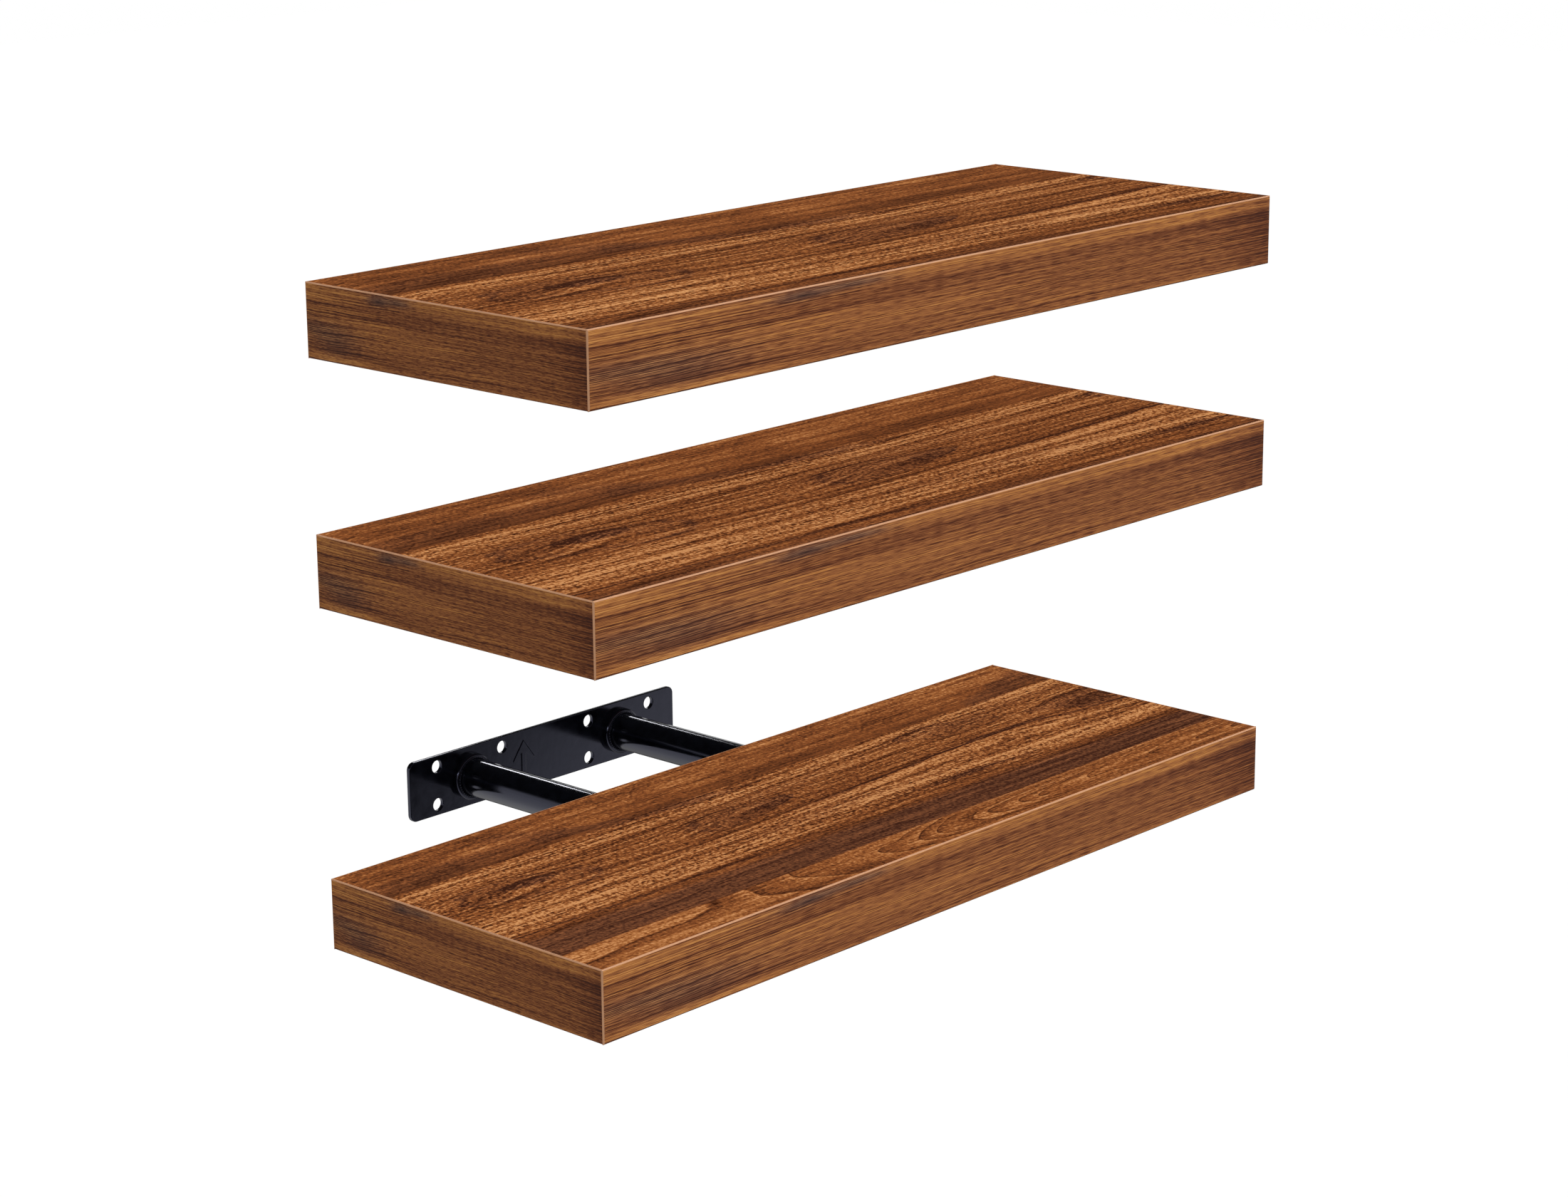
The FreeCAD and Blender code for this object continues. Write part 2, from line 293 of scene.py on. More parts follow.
def cut_sheet(name, outlines, thickness, rounding, steps=3):
    """A flat sheet with rounded edges from closed outlines, the holes turned the other way. It
    lies in XZ with its back at y = 0 and its front towards -Y."""
    curve = bpy.data.curves.new(name, "CURVE")
    curve.dimensions, curve.fill_mode = "2D", "BOTH"
    curve.extrude = (thickness / 2 - rounding) * MM
    curve.bevel_depth = rounding * MM
    curve.offset = -rounding * MM
    curve.bevel_resolution = steps
    for points in outlines:
        spline = curve.splines.new("POLY")
        spline.points.add(len(points) - 1)
        for point, (x, z) in zip(spline.points, points):
            point.co = (x * MM, z * MM, 0, 1)
        spline.use_cyclic_u = True
    drawn = bpy.data.objects.new(name, curve)
    scene.collection.objects.link(drawn)
    depsgraph = bpy.context.evaluated_depsgraph_get()
    mesh = bpy.data.meshes.new_from_object(drawn.evaluated_get(depsgraph))
    bpy.data.objects.remove(drawn)
    standing = Matrix.Rotation(math.radians(90), 4, "X")
    mesh.transform(Matrix.Translation((0, -thickness / 2 * MM, 0)) @ standing)
    return mesh


def joined(name, parts):
    """One closed mesh from (mesh, move) pairs. The shading is sharp at real edges and where a flat
    face across Y ends, so that the face mirrors as a flat one does."""
    shape = bmesh.new()
    for mesh, move in parts:
        before = len(shape.verts)
        shape.from_mesh(mesh)
        shape.verts.ensure_lookup_table()
        bmesh.ops.translate(shape, verts=shape.verts[before:], vec=Vector(move) * MM)
    bmesh.ops.remove_doubles(shape, verts=shape.verts, dist=SAME_POINT)
    bmesh.ops.recalc_face_normals(shape, faces=shape.faces)
    shape.normal_update()
    for face in shape.faces:
        face.smooth = True
    for edge in shape.edges:
        level = {abs(face.normal.y) > FLAT_ACROSS_Y for face in edge.link_faces}
        edge.smooth = len(level) == 1 and edge.calc_face_angle(0.0) < SHARP_ANGLE
    made = bpy.data.meshes.new(name)
    shape.to_mesh(made)
    shape.free()
    return made


def add_piece(name, mesh, body, material, replaced=()):
    """Puts a finished mesh into the scene on its body, in the place of the nodes it stands for."""
    piece = bpy.data.objects.new(name, mesh)
    scene.collection.objects.link(piece)
    mesh.materials.clear()
    mesh.materials.append(material)
    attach(piece, body)
    if replaced:
        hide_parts(*replaced)


# Black gloss enamel, sprayed and baked: near black with a cold cast, and a mirror-like skin that
# is very slightly wavy. Its few dust nibs are drawn coarser than real ones, so that they show.
ENAMEL_TONES = ((0.3, "#020204"), (0.7, "#06070B"))
ENAMEL_SHEEN = "#CFD2FA"
ENAMEL_IOR = 1.52
ENAMEL_ROUGHNESS = (0.10, 0.19)
ENAMEL_WAVE_MM = 6.0
# the nibs' spacing in mm, their width as a share of it, and their height beside the waves
NIB_SPACING_MM, NIB_WIDTH, NIB_HEIGHT = 1.6, 0.16, 0.12
ENAMEL_BUMP, ENAMEL_BUMP_DEPTH = 0.14, 0.00012
black_enamel, tree, shader, place = new_material("black_gloss_enamel")
wave = add_node(
    tree, "ShaderNodeTexNoise",
    {"Vector": place.outputs["Object"], "Scale": 1 / (ENAMEL_WAVE_MM * MM), "Detail": 2.0},
)
nib = add_node(
    tree, "ShaderNodeTexVoronoi",
    {"Vector": place.outputs["Object"], "Scale": 1 / (NIB_SPACING_MM * MM)},
)
nib_height = add_node(
    tree, "ShaderNodeMapRange",
    {"Value": nib.outputs["Distance"], "From Max": NIB_WIDTH, "To Min": 1.0, "To Max": 0.0},
)
relief = add_node(
    tree, "ShaderNodeMath", {0: nib_height.outputs[0], 1: NIB_HEIGHT, 2: wave.outputs[0]},
    operation="MULTIPLY_ADD",
)
bump = add_node(
    tree, "ShaderNodeBump",
    {"Strength": ENAMEL_BUMP, "Distance": ENAMEL_BUMP_DEPTH, "Height": relief.outputs[0]},
)
gloss = add_node(
    tree, "ShaderNodeMapRange",
    {"Value": wave.outputs[0], "To Min": ENAMEL_ROUGHNESS[0], "To Max": ENAMEL_ROUGHNESS[1]},
)
tone = add_node(tree, "ShaderNodeValToRGB", {0: wave.outputs[0]}, stops=tones(ENAMEL_TONES))
tree.links.new(tone.outputs[0], shader.inputs["Base Color"])
tree.links.new(gloss.outputs[0], shader.inputs["Roughness"])
tree.links.new(bump.outputs[0], shader.inputs["Normal"])
shader.inputs["IOR"].default_value = ENAMEL_IOR
shader.inputs["Specular Tint"].default_value = linear(ENAMEL_SHEEN)

for shelf in SHELVES:
    low, high = (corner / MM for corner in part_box(f"{shelf}_wall_plate"))
    middle = (low + high) / 2
    inset_x, inset_z = ((high[i] - low[i]) / 2 - PLATE_CORNER_RADIUS for i in (0, 2))
    outline = []
    for turn, (sx, sz) in enumerate(((1, 1), (-1, 1), (-1, -1), (1, -1))):
        outline += arc(
            sx * inset_x, sz * inset_z, PLATE_CORNER_RADIUS, 90 * turn, 90 * turn + 90, ROUNDING_STEPS
        )
    holes = [
        arc(x, z, SCREW_HOLE_RADIUS, 360, 0, SCREW_HOLE_STEPS)[1:]
        for x in SCREW_HOLE_XS for z in (-SCREW_HOLE_Z, SCREW_HOLE_Z)
    ]
    strip = cut_sheet("strip", [outline] + holes, PLATE_THICKNESS, PLATE_EDGE_ROUNDING)
    left_side = [(ARROW_X - x, z) for x, z in ARROW_SIDE]
    right_side = [(ARROW_X + x, z) for x, z in reversed(ARROW_SIDE)]
    arrow = cut_sheet(
        "arrow", [[(ARROW_X, ARROW_TIP_Z)] + left_side + right_side], 2 * ARROW_SLOPE + ARROW_FLAT,
        ARROW_SLOPE, 0,
    )
    # the slopes are pressed down to the relief
    arrow.transform(Matrix.Scale(ARROW_RELIEF / (ARROW_SLOPE + ARROW_FLAT / 2), 4, (0, 1, 0)))
    mesh = joined(f"{shelf}_plate", [
        (strip, (middle.x, high.y, middle.z)),
        (arrow, (middle.x, high.y - PLATE_THICKNESS + ARROW_RELIEF, middle.z)),
    ])
    add_piece(
        f"{shelf}_pressed_plate", mesh, "brackets", black_enamel, [f"{shelf}_wall_plate"]
    )


# ---- Rods ----
# Two 25 mm steel tubes with a ring upset round the foot, welded to the plate and enamelled with
# it. The ring is rounded off, with a shallow groove between its face and the tube.

RODS = ("left", "right")
ROD_RADIUS = 12.5
ROD_BORE_RADIUS = 10.5
TUBE_STEPS = 112
TIP_ROUNDING = 0.6
TIP_STEPS = 5
RING_RADIUS = 15.7
RING_HEIGHT = 4.7
RING_ROUNDING = 1.5
# the height of a line of points low on the ring's side, and how wide its face is and how far that
# drops inwards
RING_LOW_LINE = 1.0
RING_FACE, RING_FACE_DROP = 0.3, 0.05
GROOVE_INNER_RADIUS = 13.2
GROOVE_DEPTH = 0.7
GROOVE_ROUNDING = 0.7
# the groove's round side, in degrees, and where the straight tube starts above its bottom
GROOVE_TURN = (-10, -180)
GROOVE_TOP = 1.6


def turned(name, profile, segments):
    """A closed shape turned round the Y axis from (radius, distance towards -Y) points."""
    verts, faces = [], []
    count = len(profile)
    for s in range(segments):
        angle = 2 * math.pi * s / segments
        for radius, distance in profile:
            verts.append((
                radius * math.cos(angle) * MM, -distance * MM, radius * math.sin(angle) * MM
            ))
    for s in range(segments):
        for p in range(count):
            a, b = s * count + p, s * count + (p + 1) % count
            t = ((s + 1) % segments) * count
            faces.append((a, b, t + (p + 1) % count, t + p))
    mesh = bpy.data.meshes.new(name)
    mesh.from_pydata(verts, [], faces)
    return mesh


for shelf in SHELVES:
    for side in RODS:
        node_name = f"{shelf}_{side}_rod"
        low, high = (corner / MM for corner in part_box(node_name))
        length = high.y - low.y
        rim = RING_RADIUS - RING_ROUNDING
        groove_y = RING_HEIGHT - GROOVE_DEPTH
        profile = [(ROD_BORE_RADIUS, 0.0), (RING_RADIUS, 0.0), (RING_RADIUS, RING_LOW_LINE)]
        profile += arc(rim, RING_HEIGHT - RING_ROUNDING, RING_ROUNDING, 0, 90, ROUNDING_STEPS)
        profile += [(rim - RING_FACE, RING_HEIGHT - RING_FACE_DROP)]
        profile += arc(
            GROOVE_INNER_RADIUS, groove_y + GROOVE_ROUNDING, GROOVE_ROUNDING, *GROOVE_TURN, ROUNDING_STEPS
        )
        profile += [(ROD_RADIUS, groove_y + GROOVE_TOP), (ROD_RADIUS, length / 2)]
        tip_y = length - TIP_ROUNDING
        profile += arc(ROD_RADIUS - TIP_ROUNDING, tip_y, TIP_ROUNDING, 0, 90, TIP_STEPS)
        profile += arc(ROD_BORE_RADIUS + TIP_ROUNDING, tip_y, TIP_ROUNDING, 90, 180, TIP_STEPS)
        tube = turned("tube", profile, TUBE_STEPS)
        mesh = joined(f"{side}_tube", [(tube, ((low.x + high.x) / 2, high.y, (low.z + high.z) / 2))])
        add_piece(
            f"{shelf}_{side}_ringed_tube", mesh, "brackets", black_enamel, [node_name]
        )


# ---- Weld beads ----
# A fillet weld runs round each tube, in the groove of its ring. It is a row of overlapping ripples,
# as a welder's short arcs leave them, and the enamel covers it.

BEAD_RADIUS = 13.35
RIPPLE_COUNT = 44
RIPPLE_LENGTH = 1.35
RIPPLE_HEIGHT = 0.9
BEAD_SINK = 0.65
RIPPLE_VARIES = (0.88, 1.1)
RIPPLE_SEED = 7
RIPPLE_SEGMENTS, RIPPLE_RINGS = 10, 7
bead_tree = bpy.data.node_groups.new("weld_bead", "GeometryNodeTree")
for socket_name, kind in (
    ("Bead Radius", "NodeSocketFloat"), ("Ripple Count", "NodeSocketInt"),
    ("Ripple Length", "NodeSocketFloat"), ("Ripple Height", "NodeSocketFloat"),
    ("Material", "NodeSocketMaterial"),
):
    bead_tree.interface.new_socket(socket_name, in_out="INPUT", socket_type=kind)
bead_tree.interface.new_socket("Geometry", in_out="OUTPUT", socket_type="NodeSocketGeometry")
given = add_node(bead_tree, "NodeGroupInput")
path_ring = add_node(
    bead_tree, "GeometryNodeMeshCircle",
    {"Vertices": given.outputs["Ripple Count"], "Radius": given.outputs["Bead Radius"]},
)
ripple = add_node(
    bead_tree, "GeometryNodeMeshUVSphere",
    {"Segments": RIPPLE_SEGMENTS, "Rings": RIPPLE_RINGS, "Radius": 1.0},
)
where = add_node(bead_tree, "GeometryNodeInputPosition")
facing = add_node(bead_tree, "FunctionNodeAlignRotationToVector", {"Vector": where.outputs[0]}, axis="X")
chance = add_node(
    bead_tree, "FunctionNodeRandomValue",
    {2: RIPPLE_VARIES[0], 3: RIPPLE_VARIES[1], "Seed": RIPPLE_SEED}, data_type="FLOAT",
)
varied = add_node(
    bead_tree, "ShaderNodeMath", {0: given.outputs["Ripple Height"], 1: chance.outputs[1]},
    operation="MULTIPLY",
)
size = add_node(
    bead_tree, "ShaderNodeCombineXYZ",
    {"X": varied.outputs[0], "Y": given.outputs["Ripple Length"], "Z": varied.outputs[0]},
)
laid = add_node(
    bead_tree, "GeometryNodeInstanceOnPoints",
    {"Points": path_ring.outputs[0], "Instance": ripple.outputs[0], "Rotation": facing.outputs[0],
     "Scale": size.outputs[0]},
)
real = add_node(bead_tree, "GeometryNodeRealizeInstances", {0: laid.outputs[0]})
smooth = add_node(bead_tree, "GeometryNodeSetShadeSmooth", {0: real.outputs[0]})
dressed = add_node(
    bead_tree, "GeometryNodeSetMaterial", {0: smooth.outputs[0], "Material": given.outputs["Material"]}
)
add_node(bead_tree, "NodeGroupOutput", {0: dressed.outputs[0]})


def grown(name, tree, values):
    """The plain mesh that a Geometry Nodes tree makes with these input values."""
    holder = bpy.data.objects.new(name, bpy.data.meshes.new(name))
    scene.collection.objects.link(holder)
    modifier = holder.modifiers.new(name, "NODES")
    modifier.node_group = tree
    for item in tree.interface.items_tree:
        if item.in_out == "INPUT" and item.name in values:
            modifier[item.identifier] = values[item.name]
    depsgraph = bpy.context.evaluated_depsgraph_get()
    mesh = bpy.data.meshes.new_from_object(holder.evaluated_get(depsgraph))
    holder.modifiers.remove(modifier)
    bpy.data.objects.remove(holder)
    return mesh


bead = grown("bead", bead_tree, {
    "Bead Radius": BEAD_RADIUS * MM, "Ripple Count": RIPPLE_COUNT, "Ripple Length": RIPPLE_LENGTH * MM,
    "Ripple Height": RIPPLE_HEIGHT * MM, "Material": black_enamel,
})
bead.transform(Matrix.Rotation(math.radians(90), 4, "X"))
beads = []
for shelf in SHELVES:
    for side in RODS:
        low, high = (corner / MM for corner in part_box(f"{shelf}_{side}_rod"))
        beads.append((bead, (
            (low.x + high.x) / 2, high.y - RING_HEIGHT + BEAD_SINK, (low.z + high.z) / 2
        )))
mesh = joined("beads", beads)
mesh.shade_smooth()
add_piece("weld_beads", mesh, "brackets", black_enamel)


# ---- Frame rails and rod blocks ----
# Strips of chipboard glued up into a frame, with a bored block round each rod. They lie between
# the skins, so only the walls of the two bores can ever be seen.

RAILS = ("front_rail", "back_rail", "left_rail", "right_rail", "left_rod_block", "right_rod_block")


def dress(node_name, material):
    """Gives a CAD node its material."""
    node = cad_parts[node_name]
    node.data.materials.clear()
    node.data.materials.append(material)


# Raw chipboard, sawn and bored: pale tan chips of many shades, with fine dark dust between them,
# and a dull, slightly rough cut.
CHIP_MM = 3.2
CHIP_DUST_MM = 0.9
CHIP_TONES = ((0.0, "#8A6540"), (0.35, "#B58E61"), (0.7, "#CDA97A"), (1.0, "#DDBF94"))
DUST_TONES = ((0.35, "#9A9A9A"), (0.6, "#FFFFFF"))
CHIP_BUMP, CHIP_BUMP_DEPTH = 0.6, 0.0004
chipboard, tree, shader, place = new_material("raw_chipboard")
chips = add_node(
    tree, "ShaderNodeTexVoronoi",
    {"Vector": place.outputs["Object"], "Scale": 1 / (CHIP_MM * MM), "Randomness": 1.0},
)
dust = add_node(
    tree, "ShaderNodeTexNoise",
    {"Vector": place.outputs["Object"], "Scale": 1 / (CHIP_DUST_MM * MM), "Detail": 4.0, "Roughness": 0.7},
)
shade = add_node(tree, "ShaderNodeSeparateColor", {0: chips.outputs["Color"]})
chip_tone = add_node(tree, "ShaderNodeValToRGB", {0: shade.outputs[0]}, stops=tones(CHIP_TONES))
speckle = add_node(tree, "ShaderNodeValToRGB", {0: dust.outputs[0]}, stops=tones(DUST_TONES))
colour = add_node(
    tree, "ShaderNodeMix", {0: 1.0, 6: chip_tone.outputs[0], 7: speckle.outputs[0]},
    data_type="RGBA", blend_type="MULTIPLY",
)
bump = add_node(
    tree, "ShaderNodeBump",
    {"Strength": CHIP_BUMP, "Distance": CHIP_BUMP_DEPTH, "Height": chips.outputs["Distance"]},
)
tree.links.new(colour.outputs[2], shader.inputs["Base Color"])
tree.links.new(bump.outputs[0], shader.inputs["Normal"])
shader.inputs["Roughness"].default_value = 0.85

for shelf in SHELVES:
    for part in RAILS:
        dress(f"{shelf}_{part}", chipboard)


# ---- Paper honeycomb ----
# Kraft paper comb, pulled open and glued between the skins in three bays. It keeps the thin
# skins flat, and the board light.

# Unbleached kraft paper: mid brown and dull, with its fibres along the comb's walls. They are
# drawn wider than real ones, so that they show.
FIBRE_LENGTH_MM, FIBRE_WIDTH_MM = 4.0, 0.5
PAPER_TONES = ((0.3, "#8C6A45"), (0.55, "#B08A5E"), (0.75, "#C7A57A"))
PAPER_BUMP, PAPER_BUMP_DEPTH = 0.4, 0.00015
kraft_paper, tree, shader, place = new_material("kraft_paper")
laid_fibres = add_node(
    tree, "ShaderNodeMapping",
    {"Vector": place.outputs["Object"],
     "Scale": [1 / (size * MM) for size in (FIBRE_LENGTH_MM, FIBRE_LENGTH_MM, FIBRE_WIDTH_MM)]},
)
fibres = add_node(
    tree, "ShaderNodeTexNoise",
    {"Vector": laid_fibres.outputs[0], "Scale": 1.0, "Detail": 5.0, "Roughness": 0.65},
)
paper_tone = add_node(tree, "ShaderNodeValToRGB", {0: fibres.outputs[0]}, stops=tones(PAPER_TONES))
bump = add_node(
    tree, "ShaderNodeBump",
    {"Strength": PAPER_BUMP, "Distance": PAPER_BUMP_DEPTH, "Height": fibres.outputs[0]},
)
tree.links.new(paper_tone.outputs[0], shader.inputs["Base Color"])
tree.links.new(bump.outputs[0], shader.inputs["Normal"])
shader.inputs["Roughness"].default_value = 0.9

for shelf in SHELVES:
    dress(f"{shelf}_honeycomb", kraft_paper)


# ---- Skins ----
# Thin fibreboard with a printed walnut decor, pressed with a fine pore texture. The decor shows
# three lamellas side by side, glued edge to edge, each with a cut of its own.

# how much each shelf's decor is enlarged along the board and across it, and how light it is
# printed; the upper one is printed darker as painted shade, to match the two below, which the
# boards above them shade
DECOR = {"lower": (1.0, 1.0, 0.08), "middle": (1.40, 1.35, 0.08), "upper": (1.40, 1.35, 0.03)}
DECOR_DEPTH = 229.0
# where the lamellas are glued, and where along and across the board the middle one's dark strip
# is butted from two lengths
LAMELLA_JOINTS = (52.0, 195.0)
BUTT_JOINT_AT = (377.0, 162.0)
BUTT_JOINT_DARK = 0.035
# how light the wood is, from the back edge to the front in mm
CUT = (
    (0, 0.50), (34, 0.46), (42, 0.39), (48, 0.33), (51.5, 0.27), (52.5, 0.44), (56, 0.62), (61, 0.68),
    (66, 0.57), (71, 0.44), (77, 0.52), (85, 0.45), (94, 0.51), (103, 0.44), (112, 0.45), (115, 0.30),
    (117, 0.50), (121, 0.61), (130, 0.55), (134, 0.55), (139, 0.73), (144, 0.72), (149, 0.54),
    (156, 0.38), (163, 0.31), (168, 0.25), (173, 0.20), (194.5, 0.185), (195.5, 0.49), (205, 0.53),
    (229, 0.43),
)
# figure in the grain: its middle, half length and half height in mm, tilt in degrees, how it
# narrows to the right; how far in mm it pushes the grain apart, lifts the light and dark bands, and
# raises closed rings; how much darker it is, and how soft its outline is as a share of its size
SWIRLS = (
    (70, 97, 46, 16, 9, 0.15, 6, 0, 9, 0.08, 0.31),
    (66, 92, 19, 6, 3, 0.0, 0, 0, 3, 0.24, 0.31),
    (74, 104, 26, 4, 8, 0.0, 0, 0, 0, -0.10, 0.6),
    (255, 97, 46, 12, -2, 0.45, 6, 3, 6, 0.13, 0.36),
    (284, 97, 18, 6, -5, 0.3, 0, 0, 3, 0.13, 0.46),
    (322, 94, 24, 6, -12, 0.0, 0, 0, 0, -0.13, 0.85),
    (470, 78, 40, 12, 8, 0.2, 6, -4, 6, 0.12, 0.46),
    (590, 100, 60, 15, 9, -0.75, 9, 4, 4, 0.20, 0.25),
    (467, 113, 100, 14, 0, 0.0, 0, 9, 0, 0.0, 0.0),
    (215, 117, 90, 14, 0, 0.0, 0, -2, 0, 0.0, 0.0),
    (625, 118, 80, 15, 0, 0.0, 0, -4, 0, 0.0, 0.0),
    (235, 62, 170, 24, 0, 0.0, 0, -6, 0, 0.0, 0.0),
    (560, 152, 150, 22, 0, 0.0, 0, -6, 0, 0.0, 0.0),
    (410, 149, 42, 2.2, 1, 0.0, 0, 0, 0, 0.30, 0.85),
    (378, 111.3, 90, 1.3, -3.5, 0.0, 0, 0, 0, 0.26, 0.46),
    (466, 107, 60, 1.3, 0, 0.0, 0, 0, 0, 0.26, 0.46),
    (545, 112.3, 72, 1.3, 5.5, 0.0, 0, 0, 0, 0.24, 0.46),
    (100, 157.5, 150, 1.2, 1.4, 0.0, 0, 0, 0, 0.22, 0.46),
    (485, 168, 100, 1.2, 1.6, 0.0, 0, 0, 0, 0.18, 0.46),
    (40, 38, 80, 11, 0, 0.0, 0, 0, 0, 0.12, 0.6),
    (128, 26, 20, 9, 25, 0.0, 0, 0, 0, 0.11, 0.6),
    (160, 44, 36, 6, 8, 0.4, 0, 0, 0, 0.17, 0.36),
    (228, 56, 60, 3.5, 2, 0.0, 0, 0, 0, 0.24, 0.46),
    (575, 39, 66, 12, -14, -0.5, 0, 0, 0, 0.17, 0.36),
    (395, 33, 40, 14, 20, 0.0, 0, 0, 0, -0.06, 0.85),
    (60, 134, 120, 5, 0, 0.0, 0, 0, 0, -0.10, 0.85),
    (90, 62, 110, 4, 0, 0.0, 0, 0, 0, -0.07, 0.85),
    (300, 134, 90, 5, 0, 0.0, 0, 0, 0, 0.11, 0.85),
    (300, 79, 70, 5, 0, 0.0, 0, 0, 0, 0.08, 0.85),
    (520, 89, 80, 9, 0, 0.0, 0, 0, 0, -0.08, 0.85),
    (530, 125, 90, 5, 0, 0.0, 0, 0, 0, -0.11, 0.85),
    (520, 68, 90, 5, 0, 0.0, 0, 0, 0, 0.06, 0.85),
    (60, 199, 110, 7, 0, 0.0, 0, 0, 0, -0.10, 0.85),
)
# a swirl fades as a bell does, to this share at its half size, and is never narrower than this
# share of its height; a swirl with closed rings has a thin outline, so wide and so dark
BELL = 0.3679
NARROWEST = 0.12
OUTLINE_WIDTH, OUTLINE_DARK = 0.08, 0.24
# annual rings in the middle lamella are narrow; the back one is a wild cut, and the front one is
# cut through the crown of the tree, with nested arches that open to the right
RING_PITCH, WILD_PITCH, ARCH_PITCH = 8.5, 130.0, 46.0
# the arches' middle line; at the left end it lies so much nearer the back edge, and it comes
# forward between two places along the board
ARCH_MIDDLE, ARCH_SET_BACK, ARCH_COMES_FORWARD = 212.0, 38, (150.0, 270.0)
# how sharply they bend, from where along the board they bend more, and how much more for each mm
ARCH_BEND, ARCH_BEND_FROM, ARCH_BEND_GROWTH = 0.014, 220.0, 0.0022
# left of them the rings run aslant along the board: what a mm across it and along it adds, and
# where they start; they pass into the arches between two places
ASLANT_ACROSS, ASLANT_ALONG, ASLANT_START = 1.25, 0.2, -163.0
ASLANT_ENDS = (95.0, 160.0)
# each ring's tone from its start to its end, and how strongly the rings show in each lamella
RING_TONES = ((0.0, 0.0), (0.07, 0.34), (0.4, 0.46), (0.8, 0.64), (0.95, 0.74), (1.0, 0.0))
MIDDLE_RINGS_SHOW, CROWN_RINGS_SHOW, WILD_RINGS_SHOW = (0.05, 0.55), 0.85, 0.22
# unevenness in the grain: how strong, how long and wide in mm, and how much detail it has
CROOKED_ALONG, CROOKED_ACROSS = (9.0, 45, 14, 2.0), (3.0, 60, 18, 2.0)
BANDS_WANDER = (1.5, 230, 60, 1.0)
CROWN_WANDERS = (6.0, 120, 40, 2.0)
ARCHES_WANDER, ARCHES_VARY = (14.0, 60, 24, 0.0), (0.8, 60, 400, 1.0)
WILD_RINGS_WANDER, RINGS_VARY = (2.2, 110, 34, 1.0), (1.3, 260, 22, 1.0)
RINGS_COME_AND_GO, COME_AND_GO_EDGE = (1.0, 110, 16, 2.0), 0.35
BROAD_STREAKS, FINE_STREAKS = (0.33, 240, 4.5, 3.0), (0.24, 60, 1.5, 2.0)
CLOUDS = (0.15, 70, 13, 3.0)
# streaks and speckle by how light the wood is: growth and least; and their share in the outer two
VIVID_GROWTH, VIVID_LEAST, OUTER_VIVID = 1.7, 0.1, 0.62
# open pores and the print's speckle are too fine to show, so they are drawn coarser than real
PORE_LENGTH, PORE_WIDTH, PORE_EDGE, PORE_DARK = 6.0, 2.0, (0.05, 0.30), 0.27
SPECKLE_LENGTH, SPECKLE_WIDTH, SPECKLE_STRENGTH = 2.2, 2.2, 0.42
# the print's colours from dark to light, and those with a purple cast: of the wood that is darker
# than this, and of the smudges by how dark they are
PRINT_TONES = (
    (0.0, "#3C1D0E"), (0.14, "#4F2C1A"), (0.28, "#653A21"), (0.42, "#794525"), (0.54, "#8A502B"),
    (0.68, "#A06335"), (0.85, "#BC7E4C"), (1.0, "#D0945F"),
)
PLUM_TONES = (
    (0.0, "#3A1F15"), (0.14, "#4F2E20"), (0.28, "#653E29"), (0.42, "#7B4B30"), (0.6, "#935D3B"),
    (1.0, "#C08A5A"),
)
PLUM_BELOW = (0.31, 0.245)
PLUM_IN_SMUDGES = 2.5
DECOR_BUMP, DECOR_BUMP_DEPTH = 0.35, 0.00003
MATH, COMBINE, SEPARATE = "ShaderNodeMath", "ShaderNodeCombineXYZ", "ShaderNodeSeparateXYZ"


def greys(levels, whole=1.0):
    """Colour ramp stops from (place, grey) pairs, the places measured on a scale up to whole."""
    return [(place / whole, (grey, grey, grey, 1)) for place, grey in levels]


def with_noise(tree, field, unevenness, u, v):
    """The field plus noise about 0, whose cells have a length and a width in mm."""
    amount, along, across, detail = unevenness
    cell = add_node(tree, "ShaderNodeMapping", {
        "Vector": add_node(tree, COMBINE, {0: u, 1: v}), "Scale": (1 / along, 1 / across, 1)})
    noise = add_node(tree, "ShaderNodeTexNoise", {"Vector": cell, "Scale": 1.0, "Detail": detail},
                     noise_dimensions="2D", normalize=False)
    return add_node(tree, MATH, {0: noise, 1: amount, 2: field}, operation="MULTIPLY_ADD")


